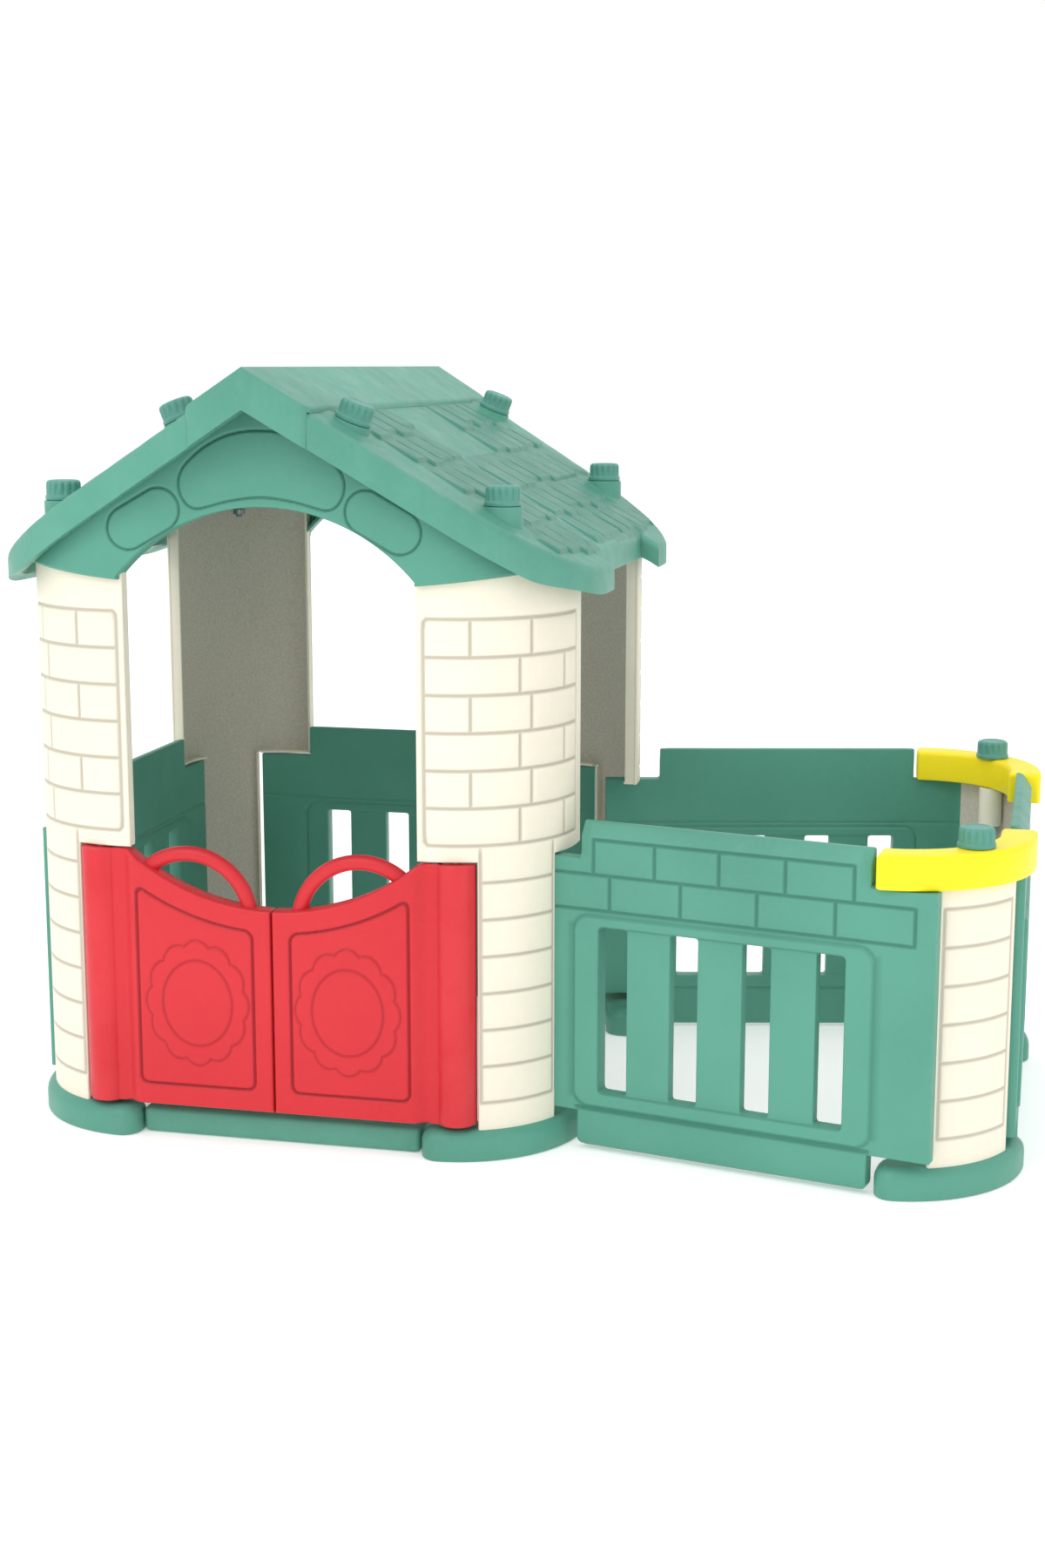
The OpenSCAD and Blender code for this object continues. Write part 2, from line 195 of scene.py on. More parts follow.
def lathe(name, prof, body, at=(0, 0, 0), tilt=0.0, tilt_sign=1, seg=48, mod=None, sharp=38):
    """surface of revolution about Z; prof is (r, z); mod(angle, k) scales the radius of ring k"""
    V, F = [], []
    for k, (r, z) in enumerate(prof):
        for i in range(seg):
            t = 2 * PI * i / seg
            q = r + (mod(t, k) if mod else 0.0)
            V.append([q * math.cos(t), q * math.sin(t), z])
    m = len(prof)
    for k in range(m - 1):
        for i in range(seg):
            j = (i + 1) % seg
            F.append((k * seg + i, k * seg + j, (k + 1) * seg + j, (k + 1) * seg + i))
    F.append(tuple(reversed(range(seg))))
    F.append(tuple((m - 1) * seg + i for i in range(seg)))
    V = np.array(V)
    c, s = math.cos(tilt), math.sin(tilt) * tilt_sign
    R = np.array([[c, 0, s], [0, 1, 0], [-s, 0, c]])
    V = V @ R.T + np.array(at)
    return finish_mesh(name, V, F, body, {"painted_shade": np.zeros(len(V)), "inner": np.zeros(len(V))}, sharp)


def prism(name, poly, h0, h1, place, body, bev=1.0, inner=0.0):
    """polygon swept between h0 and h1, with bevelled edges"""
    poly = np.array(poly, float)
    n = len(poly)
    P = np.vstack([place(poly[:, 0], poly[:, 1], np.full(n, float(h0))),
                   place(poly[:, 0], poly[:, 1], np.full(n, float(h1)))])
    bm = bmesh.new()
    vs = [bm.verts.new(tuple(p)) for p in P]
    bm.faces.new(vs[:n])
    bm.faces.new(list(reversed(vs[n:])))
    for i in range(n):
        j = (i + 1) % n
        bm.faces.new((vs[i], vs[n + i], vs[n + j], vs[j]))
    bmesh.ops.recalc_face_normals(bm, faces=bm.faces[:])
    if bev > 0:
        eds = [e for e in bm.edges if e.calc_face_angle(0) > math.radians(28)]
        bmesh.ops.bevel(bm, geom=eds, offset=bev, segments=3, profile=0.5, affect="EDGES", clamp_overlap=True)
    bm.verts.index_update()
    V = [tuple(v.co) for v in bm.verts]
    F = [tuple(v.index for v in f.verts) for f in bm.faces]
    bm.free()
    return finish_mesh(name, V, F, body, {"painted_shade": np.zeros(len(V)), "inner": np.full(len(V), inner)})


def join(name, obs, body):
    obs = [o for o in obs if o]
    bpy.ops.object.select_all(action="DESELECT")
    for o in obs:
        o.select_set(True)
    bpy.context.view_layer.objects.active = obs[0]
    if len(obs) > 1:
        bpy.ops.object.join()
    obs[0].name = name
    obs[0].data.name = name
    return obs[0]


# ------------------------------------------------------------------ materials
def lin(c):
    return [((x / 255.0) / 12.92 if x / 255.0 <= 0.04045 else ((x / 255.0 + 0.055) / 1.055) ** 2.4) for x in c]


def plastic(name, rgb, shade_rgb, inner_shade_rgb=None, rough=0.42, grain=1.0, var=0.10):
    m = bpy.data.materials.new(name)
    m.use_nodes = True
    nt = m.node_tree
    N, L = nt.nodes, nt.links
    N.clear()
    out = N.new("ShaderNodeOutputMaterial")
    bs = N.new("ShaderNodeBsdfPrincipled")
    L.new(bs.outputs[0], out.inputs[0])
    tc = N.new("ShaderNodeTexCoord")

    def noise(scale, detail, rg=0.5):
        n = N.new("ShaderNodeTexNoise")
        n.inputs["Scale"].default_value = scale
        n.inputs["Detail"].default_value = detail
        n.inputs["Roughness"].default_value = rg
        L.new(tc.outputs["Object"], n.inputs["Vector"])
        return n

    def ramp(src, a, b, lo, hi):
        r = N.new("ShaderNodeMapRange")
        r.inputs[1].default_value = a
        r.inputs[2].default_value = b
        r.inputs[3].default_value = lo
        r.inputs[4].default_value = hi
        r.clamp = True
        L.new(src, r.inputs[0])
        return r

    def mix(fac, c0, c1):
        x = N.new("ShaderNodeMix")
        x.data_type = "RGBA"
        if isinstance(fac, (int, float)):
            x.inputs[0].default_value = fac
        else:
            L.new(fac, x.inputs[0])
        for k, c in ((6, c0), (7, c1)):
            if isinstance(c, (list, tuple)):
                x.inputs[k].default_value = (*c, 1.0)
            else:
                L.new(c, x.inputs[k])
        return x.outputs[2]

    base = lin(rgb)
    dark = [x * (1 - var) for x in base]
    light = [min(1.0, x * (1 + var * 0.7) + 0.004) for x in base]
    big = noise(2.6, 3.0)
    fine = noise(90.0, 4.0, 0.6)
    col = mix(ramp(big.outputs[0], 0.35, 0.65, 0, 1).outputs[0], dark, light)
    # fine speckle of the pigment
    col = mix(ramp(fine.outputs[0], 0.45, 0.75, 0, 0.18).outputs[0], col, [min(1, x * 1.12 + 0.01) for x in base])
    # worn, slightly paler convex edges
    geo = N.new("ShaderNodeNewGeometry")
    edge = ramp(geo.outputs["Pointiness"], 0.515, 0.60, 0, 0.35)
    wn = noise(14.0, 4.0, 0.6)
    wm = N.new("ShaderNodeMath")
    wm.operation = "MULTIPLY"
    L.new(edge.outputs[0], wm.inputs[0])
    L.new(ramp(wn.outputs[0], 0.4, 0.62, 0.15, 1).outputs[0], wm.inputs[1])
    col = mix(wm.outputs[0], col, [min(1, x * 1.2 + 0.05) for x in base])
    # painted shade: a darker groove colour is mixed in along grooves, recesses and under edges, standing in for the
    # shade that falls there
    at = N.new("ShaderNodeAttribute")
    at.attribute_name = "painted_shade"
    col = mix(ramp(at.outputs["Fac"], 0.0, 1.0, 0, 0.85).outputs[0], col, lin(shade_rgb))
    # painted shade: the inner (back) faces take a darker speckled taupe, standing in for the shade inside the mouldings
    if inner_shade_rgb:
        ai = N.new("ShaderNodeAttribute")
        ai.attribute_name = "inner"
        speck = noise(260.0, 3.0, 0.7)
        ic = mix(ramp(speck.outputs[0], 0.35, 0.65, 0, 1).outputs[0], [x * 0.86 for x in lin(inner_shade_rgb)], [x * 1.08 for x in lin(inner_shade_rgb)])
        col = mix(ramp(ai.outputs["Fac"], 0.4, 0.6, 0, 1).outputs[0], col, ic)
    L.new(col, bs.inputs["Base Color"])
    L.new(ramp(noise(22.0, 5.0, 0.65).outputs[0], 0.3, 0.7, rough - 0.07, rough + 0.09).outputs[0], bs.inputs["Roughness"])
    bs.inputs["IOR"].default_value = 1.46
    bs.inputs["Specular IOR Level"].default_value = 0.3
    # moulded grain: fine pitting over a faint flow waviness
    b1 = N.new("ShaderNodeBump")
    b1.inputs["Strength"].default_value = 0.22 * grain
    b1.inputs["Distance"].default_value = 0.0006
    L.new(noise(420.0, 3.0, 0.6).outputs[0], b1.inputs["Height"])
    b2 = N.new("ShaderNodeBump")
    b2.inputs["Strength"].default_value = 0.25
    b2.inputs["Distance"].default_value = 0.004
    L.new(noise(5.0, 2.0).outputs[0], b2.inputs["Height"])
    L.new(b1.outputs[0], b2.inputs["Normal"])
    L.new(b2.outputs[0], bs.inputs["Normal"])
    return m


def steel(name):
    m = plastic(name, (150, 152, 156), (90, 90, 92), rough=0.34, grain=0.6)
    m.node_tree.nodes["Principled BSDF"].inputs["Metallic"].default_value = 1.0
    return m


# the second colour of each plastic is the painted shade for its grooves; the cream's inner colour is painted shade for
# its inner faces
GREEN = plastic("green_plastic", (85, 151, 132), (38, 98, 82))
CREAM = plastic("cream_plastic", (236, 229, 211), (172, 166, 152), inner_shade_rgb=(205, 199, 186), var=0.025, rough=0.46)
RED = plastic("red_plastic", (206, 46, 54), (132, 16, 26), var=0.05, rough=0.36)
YELLOW = plastic("yellow_plastic", (250, 226, 28), (190, 168, 20), var=0.04, rough=0.38)
KNOB = plastic("knob_plastic", (86, 148, 134), (40, 92, 80), var=0.06, rough=0.36)
STEEL = steel("steel")


def done(ob, mat, body, slot, *nodes):
    ob.data.materials.clear()
    ob.data.materials.append(mat)
    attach(ob, body)
    if nodes:
        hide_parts(*nodes)
    return ob


# ------------------------------------------------------------------ shared geometry
XE, YE, R = 440.0, 450.0, 188.0
CX, CY = XE - R, YE - R
DOOR = 231.0
SK, SL = 1192.0, 0.61
L1 = CX - DOOR
L2 = R * PI / 2
LU = L1 + L2 + 17.0


def corner(sx, sy, l1=L1, cx=CX, cy=CY, rad=R):
    """path along a front straight, round a quarter corner, along a side straight"""
    def f(u, v, w):
        a = np.clip((u - l1) / rad, 0, PI / 2)
        x = cx + (rad + w) * np.sin(a) + np.minimum(u - l1, 0)
        y = -cy - (rad + w) * np.cos(a) + np.maximum(u - l1 - rad * PI / 2, 0)
        return np.stack([sx * x, sy * y, v], -1)
    return f


def path_x(u):
    a = np.clip((u - L1) / R, 0, PI / 2)
    return CX + R * np.sin(a) + np.minimum(u - L1, 0)


# ------------------------------------------------------------------ pillars
def pillar(node, sx, sy, u_low0, u_low1):
    top = lambda u: SK - 8.5 - path_x(u) * SL - 1
    FR, FL = 300.0, 12.0
    rows = [834.2 - 56.92 * k for k in range(7)]
    segs = [(FL, rows[6] + 6, FL, rows[0] - 6, 5.4), (FR, rows[6], FR, rows[0], 4.6)]
    for z in rows:
        segs.append((FL + (5 if z in (rows[0], rows[6]) else 0), z, FR, z, 4.7))
    segs += [(FL, rows[0] - 6, FL + 5, rows[0], 5.0), (FL, rows[6] + 6, FL + 5, rows[6], 5.0)]
    for k in range(6):
        for u in ((83.3, 183.0) if k % 2 == 0 else (162.1, 257.3)):
            segs.append((u, rows[k] - 4, u, rows[k + 1] + 4, 4.7))
    low = [435.2 - 57.69 * k for k in range(7)]
    lu0, lu1 = 97.5, 228.0
    segs += [(lu0, 486, lu0, low[6], 4.7), (lu1, 486, lu1, low[6], 4.7)]
    segs += [(lu0, z, lu1, z, 4.5) for z in low]
    us = lines(0, LU, em(0, 3, 1) + em(LU, 3, -1) + em(u_low0, 3, 1) + em(u_low1, 3, -1) + gm(FL, 5.4) + gm(FR, 4.6)
               + sum((gm(x, 4.7) for x in (83.3, 183.0, 162.1, 257.3, lu0, lu1)), []), 6.0)
    vs = lines(27.5, 1050, em(27.5, 3, 1) + em(467, 3, 1) + sum((gm(z, 4.7) for z in rows + low), []), 13.0)

    def sdf(u, v):
        s = np.minimum(box_sdf(u, v, 0, LU, 467, 1400), box_sdf(u, v, u_low0, u_low1, 27.5, 600))
        return np.maximum(s, (v - top(u)) * 0.85)

    def top_w(u, v, s):
        return -2.9 * cut(u, v, segs, 4.7) - fillet(s, 3.0)

    # painted shade in the brick grooves
    ob = relief(node + "_shell", us, vs, sdf, top_w, -5.0, corner(sx, sy), "house", painted_shade=lambda u, v, s: cut(u, v, segs, 4.7))
    pl = lambda x, y, z: np.stack([sx * x, sy * y, z], -1)
    parts = [ob]
    zt = SK - 8.5 - (DOOR + 5) * SL - 2
    parts.append(prism("f", [(DOOR + 0.4, -YE + 3), (DOOR + 5, -YE + 3), (DOOR + 5, -YE + 22), (DOOR + 0.4, -YE + 22)], 467.5, zt, pl, "house", 1.2, 0.0))
    ys = -(YE - 205)
    zt = SK - 8.5 - XE * SL - 2
    parts.append(prism("f", [(XE - 22, ys - 5), (XE - 3, ys - 5), (XE - 3, ys - 0.4), (XE - 22, ys - 0.4)], 467.5, zt, pl, "house", 1.2, 0.0))
    # ledge under the wide part
    cp = corner(sx, sy)
    for ua, ub in ((1.5, u_low0 - 0.5), (u_low1 + 0.5, LU - 1.5)):
        uu = np.linspace(ua, ub, 18)
        o1 = cp(uu, uu * 0, uu * 0 - 1.5)[:, :2] * [sx, sy]
        o2 = cp(uu, uu * 0, uu * 0 - 24)[:, :2] * [sx, sy]
        parts.append(prism("l", list(map(tuple, o1)) + list(map(tuple, o2[::-1])), 467.4, 471.5, pl, "house", 0.8, 0.0))
    # folded edge of the narrow part
    a0 = (u_low0 - L1) / R
    c, s_ = math.cos(a0 + 0.012), math.sin(a0 + 0.012)
    n_, t_ = (s_, -c), (c, s_)
    q = [(CX + n_[0] * r + t_[0] * k, -CY + n_[1] * r + t_[1] * k) for r, k in ((R - 2.5, 0), (R - 2.5, 4), (R - 17, 4), (R - 17, 0))]
    parts.append(prism("e", q, 48, 468, pl, "house", 0.9, 0.0))
    ob = join(node + "_moulding", parts, "house")
    done(ob, CREAM, "house", "cream_plastic", node)


ang = lambda a: L1 + R * math.radians(a)
pillar("pillar_front_right", 1, 1, ang(22), 233.0)
pillar("pillar_front_left", -1, 1, ang(22), ang(67))
pillar("pillar_rear_right", 1, -1, ang(27), 233.0)
pillar("pillar_rear_left", -1, -1, ang(27), ang(67))

# ------------------------------------------------------------------ gables
KID = [(0, 1010), (50, 1004), (85, 995), (103, 992), (117, 998), (127, 1013), (130, 1032), (124, 1050), (110, 1066),
       (90, 1082), (60, 1098), (30, 1106), (0, 1108)]


def smooth_loop(pts, n=6):
    """Catmull-Rom through a closed list of points"""
    P = np.array(pts, float)
    out = []
    m = len(P)
    for i in range(m):
        p0, p1, p2, p3 = P[(i - 1) % m], P[i], P[(i + 1) % m], P[(i + 2) % m]
        for k in range(n):
            t = k / n
            out.append(0.5 * (2 * p1 + (p2 - p0) * t + (2 * p0 - 5 * p1 + 4 * p2 - p3) * t * t + (3 * p1 - p0 - 3 * p2 + p3) * t ** 3))
    return np.array(out)


def gable(node, sy):
    PR = 14.0
    half = CX + R * math.radians(80)

    def gx(u):
        a = np.clip((np.abs(u) - CX) / R, 0, PI / 2)
        return np.minimum(np.abs(u), CX) + R * np.sin(a)

    def place(u, v, w):
        s = np.sign(u)
        a = np.clip((np.abs(u) - CX) / R, 0, PI / 2)
        x = np.minimum(np.abs(u), CX) + (R + w) * np.sin(a)
        y = -CY - (R + w) * np.cos(a)
        return np.stack([s * x, sy * y, v], -1)

    def sdf(u, v):
        x = gx(u)
        rise = 7.0 * (np.maximum(x - 236, 0) / 66) ** 1.1
        s = np.maximum(883 + rise - v, (v - (SK - 9.2 - x * SL)) * 0.85)
        s = np.maximum(s, np.abs(u) - half)
        void = np.maximum(np.hypot(u, v - 685) - 310, np.abs(u) - 234)
        return np.maximum(s, -void)

    loop = smooth_loop(KID + [(-x, z) for x, z in KID[-2:0:-1]], 3)

    def grooves(u, v):
        g = np.zeros_like(u)
        near = (np.abs(u) < 140) & (v > 980) & (v < 1120)
        un, vn = u[near], v[near]
        d = np.full(un.shape, 1e9)
        for k in range(len(loop)):
            p, q = loop[k], loop[(k + 1) % len(loop)]
            d = np.minimum(d, seg_d(un, vn, (p[0], p[1], q[0], q[1])))
        g[near] = bell(d, 3.4)
        dp = np.abs(seg_d(np.abs(u), v, (163, 990, 213, 962)) - 33)
        return np.maximum(g, bell(dp, 3.4))

    us = lines(-half, half, em(-234, 4, 1) + em(234, 4, -1) + em(-half, 4, 1) + em(half, 4, -1) + [0, -CX, CX], 2.0)
    us = np.array([u for i, u in enumerate(us) if abs(u) < 256 or i % 3 == 0 or i in (0, len(us) - 1)])
    vs = lines(883, 1184, em(883, 4, 1) + em(888.3, 4, 1), 2.0)
    # painted shade in the figure and arc grooves
    ob = relief(node + "_face", us, vs, sdf, lambda u, v, s: PR - 2.4 * grooves(u, v) - fillet(s, 4.0), 1.0, place, "house",
                painted_shade=lambda u, v, s: grooves(u, v))
    # turned-in lip of the arch
    t = np.linspace(-math.asin(231 / 310), math.asin(231 / 310), 61)
    pts = [(310 * math.sin(k), 685 + 310 * math.cos(k)) for k in t] + [(316 * math.sin(k), 685 + 316 * math.cos(k)) for k in t[::-1]]
    lip = prism("lip", pts, -YE - 8, -YE + 20, lambda x, z, y: np.stack([x, sy * y, z], -1), "house", 1.0)
    ob = join(node + "_moulding", [ob, lip], "house")
    done(ob, GREEN, "house", "green_plastic", node)


gable("gable_front", 1)
gable("gable_rear", -1)

# ------------------------------------------------------------------ roof
OV = R + 43.0
AP = YE + 43 + 40


def plan_edges(d):
    """half planes of the roof plan grown by -d"""
    r = OV - d
    ay = AP - d
    L = math.hypot(CX, ay - CY)
    t = math.atan2(ay - CY, CX) - math.asin(r / L)
    q = math.sqrt(L * L - r * r)
    tx, ty = q * math.cos(t), ay - q * math.sin(t)
    a0 = math.atan2(tx - CX, ty - CY)
    arc = [(CX + r * math.sin(a), CY + r * math.cos(a)) for a in np.linspace(a0, PI / 2, 22)]
    quarter = [(0, ay)] + arc
    out = []
    for p, q2 in zip(quarter, quarter[1:]):
        e = (q2[0] - p[0], q2[1] - p[1])
        n = (-e[1], e[0])
        ln = math.hypot(*n)
        n = (n[0] / ln, n[1] / ln)
        if n[0] * p[0] + n[1] * p[1] < 0:
            n = (-n[0], -n[1])
        out.append((n, p))
    out.append(((1.0, 0.0), (CX + r, 0)))
    return out


def plan_sdf(x, y, edges):
    ax, ay = np.abs(x), np.abs(y)
    s = np.full(np.shape(x), -1e9)
    for n, p in edges:
        s = np.maximum(s, n[0] * (ax - p[0]) + n[1] * (ay - p[1]))
    return s


E0 = plan_edges(0)
# shingle groups: (y0, y1, [lower edges], slant of the group's sides)
GROUPS = [
    (-384.0, -126.0, (157, 230, 304, 376, 446), 0.0),
    (-126.0, 92.0, (306, 376, 440), 0.0),
    (92.0, 440.0, (160, 232, 305, 376, 446), 0.0),
]
rng = np.random.RandomState(7)
PLANKS = []
for gi, (y0, y1, edges, sl) in enumerate(GROUPS):
    for ri, xe in enumerate(edges):
        up = 71.0
        y = y0 + rng.uniform(0, 16)
        yend = y1 - rng.uniform(0, 16)
        while y < yend - 12:
            w = rng.uniform(52, 78)
            if yend - (y + w) < 32:
                w = yend - y
            PLANKS.append((y, y + w, xe - up, xe + rng.choice([-12, -6, 0, 0, 5]), rng.uniform(-0.6, 0.6)))
            y += w
MARK_X = sorted({round(p[3], 1) for p in PLANKS})
MARK_Y = sorted({round(p[0], 1) for p in PLANKS} | {round(p[1], 1) for p in PLANKS})


def shingles(x, y):
    h = np.zeros_like(x)
    c = np.zeros_like(x)
    for (y0, y1, xt, xb, dz) in PLANKS:
        m = (y > y0 - 1) & (y < y1 + 1) & (x > xt - 14) & (x < xb + 3)
        if not m.any():
            continue
        xx, yy = x[m], y[m]
        t = np.clip((xx - xt) / (xb - xt), 0, 1)
        hh = (0.5 + 5.4 * t + dz * t) * (1 - sstep(xx, xb - 1.2, xb + 1.6)) * sstep(xx, xt - 14, xt)
        g = np.maximum(bell(yy - y0, 3.0), bell(y1 - yy, 3.0))
        hh = hh - 1.6 * g * sstep(xx, xt + 4, xt + 16)
        # painted shade along the plank sides, and at half strength over each plank down to just past its lower edge
        cc = 0.36 * g * sstep(xx, xt + 4, xt + 16) * (xx < xb + 1)
        cc = np.maximum(cc, 0.5 * bell(xx - xb - 2.0, 3.6))
        h[m] = np.maximum(h[m], hh)
        c[m] = np.maximum(c[m], cc)
    # recessed joints stay visible where planks meet, with painted shade in them
    for (y0, y1, xt, xb, dz) in PLANKS:
        for yj in (y0, y1):
            m = (np.abs(y - yj) < 3.0) & (x > xt + 10) & (x < xb)
            if m.any():
                h[m] = h[m] - 1.2 * bell(y[m] - yj, 3.0)
                c[m] = np.maximum(c[m], 0.36 * bell(y[m] - yj, 3.0))
    return h, c


KL, KU = (350.0, 385.0), (130.0, 431.0)


def roof_half(node, sx):
    def place(x, y, w):
        return np.stack([sx * x, y, SK - SL * x + w], -1)

    def sdf(x, y):
        s = plan_sdf(x, y, E0)
        s = np.maximum(s, np.minimum(x - 452, 200 - np.abs(y)))
        return np.maximum(s, 0.4 - x)

    def top(x, y, s):
        h, c = shingles(x, y)
        # the shingles fade into the smooth border
        sp = np.maximum(plan_sdf(x, y, E0), np.minimum(x - 452, 200 - np.abs(y)))
        h = h * sstep(-sp, 10, 20)
        # small drain slot near the front eave
        h = h - 4.0 * bell(seg_d(x, y, (446, -238, 449, -192)), 4.0)
        # flared seats of the knobs
        for kx, ky in ((KL[0], KL[1]), (KU[0], KU[1])):
            rr = np.hypot(x - kx, np.abs(y) - ky)
            flare = sstep(-rr, -46, -31)
            h = h * (1 - sstep(-rr, -58, -46)) + 4.0 * flare
        return h - fillet(sp, 11.0)

    def back(x, y, s):
        sp = np.maximum(plan_sdf(x, y, E0), np.minimum(x - 452, 200 - np.abs(y)))
        return -8.0 - (45.0 - 15.0 * sstep(x, 400, 470)) * sstep(sp, -26, -22)

    # painted shade of the shingles, faded at the border and round the knob seats, plus painted shade in the drain slot
    def painted_shade(x, y, s):
        c = shingles(x, y)[1]
        sp = plan_sdf(x, y, E0)
        for kx, ky in (KL, KU):
            rr = np.hypot(x - kx, np.abs(y) - ky)
            c = c * (1 - sstep(-rr, -58, -46))
        return np.maximum(c * sstep(-sp, 10, 20) * 0.8, bell(seg_d(x, y, (446, -238, 449, -192)), 4.0))

    mx = [452.0]
    for k in MARK_X:
        mx += [k - 1.2, k + 0.2, k + 1.6, k + 3.4]
    my = [-200.0, 200.0]
    for k in MARK_Y:
        my += [k - 3.0, k - 1.3, k, k + 1.3, k + 3.0]
    xs = lines(0.4, XE + 43, mx + em(XE + 43, 11, -1), 8.0, tol=0.7)
    ys = lines(-AP, AP, my + em(200, 11, 1) + em(-200, 11, -1), 8.0, tol=0.7)
    ob = relief(node + "_skin", xs, ys, sdf, top, back, place, "house", painted_shade=painted_shade, sharp=42)
    parts = [ob]
    # raised round seats that carry the knobs
    for sy in (-1, 1):
        z = SK - (KL[0] - 28) * SL + 2
        parts.append(lathe("s", [(30, SK - KL[0] * SL - 26), (30, z - 3), (29.2, z - 0.9), (27.2, z)], "house", at=(sx * KL[0], sy * KL[1], 0), seg=40))
        t = math.radians(22)
        c0 = np.array([sx * KU[0], sy * KU[1], SK - KU[0] * SL])
        parts.append(lathe("s", [(30, -16), (30, 6), (29.2, 8.1), (27.2, 9)], "house", at=c0, tilt=t, tilt_sign=sx, seg=40))
    ob = join(node + "_moulding", parts, "house")
    done(ob, GREEN, "house", "green_plastic", node)


roof_half("roof_right", 1)
roof_half("roof_left", -1)

E6 = plan_edges(-6)


def ridge():
    def place(x, y, w):
        return np.stack([x, y, 1200 - SL * np.abs(x) + w], -1)

    def sdf(x, y):
        s = plan_sdf(x, y, E6)
        return round_max(s, np.abs(x) - 95, 15.0)

    def top(x, y, s):
        return -fillet(np.maximum(s, -4.0), 4.0)

    def back(x, y, s):
        sp = plan_sdf(x, y, E6)
        return -7.6 - 53.4 * sstep(sp, -6.4, -5.9)

    xs = lines(-95, 95, em(-95, 10, 1) + em(95, 10, -1) + em(-95, 4, 1) + em(95, 4, -1) + [0, -0.6, 0.6], 7.0)
    ym = []
    for s in (-1, 1):
        ym += [s * (539 - k) for k in range(0, 44, 2)]
    ys = lines(-539, 539, ym, 12.0)
    ob = relief("ridge_cap_skin", xs, ys, sdf, top, back, place, "house")
    done(ob, GREEN, "house", "green_plastic", "ridge_cap")


ridge()

# ------------------------------------------------------------------ doors
HX, HY = 287.0, -430.0
LT = 34.0


def door(node, sx):
    def place(x, z, w):
        return np.stack([sx * x, HY - 31 - w, z], -1)

    def sdf(x, z):
        s = box_sdf(x, z, 1.5, 268, 56, 464)
        s = round_max(s, 365 - np.hypot(x, z - 744), 4.0)
        return s

    def panel(x, z):
        a = np.abs(x - 125) - 94.4
        b = np.maximum(91 - z, 400 - np.hypot(x, z - 744))
        return round_max(a, b, 13.0)

    def ell(x, z, a, b):
        px, pz = x - 122, z - 226
        k0 = np.hypot(px / a, pz / b)
        k1 = np.hypot(px / a ** 2, pz / b ** 2) + 1e-9
        return k0, k1, np.arctan2(pz / b, px / a)

    def marks(x, z):
        g = bell(np.abs(panel(x, z)), 4.4)
        k0, k1, th = ell(x, z, 57, 68.6)
        g2 = bell(np.abs(k0 * (k0 - 1) / k1), 3.8)
        k0, k1, th = ell(x, z, 83, 99)
        rim = 0.93 + 0.085 * np.abs(np.cos(th * 6)) ** 0.8
        d = k0 * (k0 - rim) / k1
        return g, g2, bell(np.abs(d), 3.8), d

    def top(x, z, s):
        g, g2, g3, d = marks(x, z)
        cove = -11.5 * sstep(x, 221, 247)
        return cove - 3.0 * g - 1.5 * g2 - 1.4 * g3 + 1.2 * (1 - sstep(d, -3, 2)) - fillet(s, 5.0) * (1 - sstep(x, 240, 256))

    def back(x, z, s):
        return -LT + 1.8 * bell(np.abs(panel(x, z)), 3.4) + fillet(s, 3.0) * (1 - sstep(x, 240, 256)) + 9 * sstep(x, 236, 262)

    # painted shade in the panel groove and the rosette rings
    def painted_shade(x, z, s):
        g, g2, g3, d = marks(x, z)
        return np.clip(g * 1.0 + g2 * 0.6 + g3 * 0.55, 0, 1)

    xs = lines(1.5, 268, em(1.5, 5, 1) + gm(30.6, 3.4) + gm(219.4, 3.4), 1.9)
    zs = lines(56, 464, em(56, 5, 1) + em(464, 5, -1) + gm(91, 3.4), 2.1)
    leaf = relief(node + "_leaf", xs, zs, sdf, top, back, place, node, painted_shade=painted_shade, sharp=42)
    parts = [leaf]
    parts.append(lathe("b", [(26, 54), (29.6, 54.8), (31, 57), (31, 461), (29.8, 463.2), (27, 464)], node, at=(sx * HX, HY, 0), seg=72))
    # arched handle
    V, F = [], []
    n, m = 44, 20
    for i in range(n + 1):
        a = math.radians(24 + 148 * i / n)
        for j in range(m):
            b = 2 * PI * j / m
            rr = 101 + 12 * math.cos(b)
            V.append([sx * (140 + rr * math.cos(a)), HY - 9 + 12 * math.sin(b), 358 + rr * math.sin(a)])
    for i in range(n):
        for j in range(m):
            k = (j + 1) % m
            q = (i * m + j, i * m + k, (i + 1) * m + k, (i + 1) * m + j)
            F.append(q if sx < 0 else tuple(reversed(q)))
    e0, e1 = tuple(range(m)), tuple(n * m + j for j in range(m))
    F.append(tuple(reversed(e0)) if sx < 0 else e0)
    F.append(e1 if sx < 0 else tuple(reversed(e1)))
    parts.append(finish_mesh("h", V, F, node, {"painted_shade": np.zeros(len(V)), "inner": np.zeros(len(V))}))
    ob = join(node + "_moulding", parts, node)
    done(ob, RED, node, "red_plastic", node)


door("door_right", 1)
door("door_left", -1)

# ------------------------------------------------------------------ panels
SLOTS = [-173.5, -58.0, 58.0, 173.5]
SW = 22.5


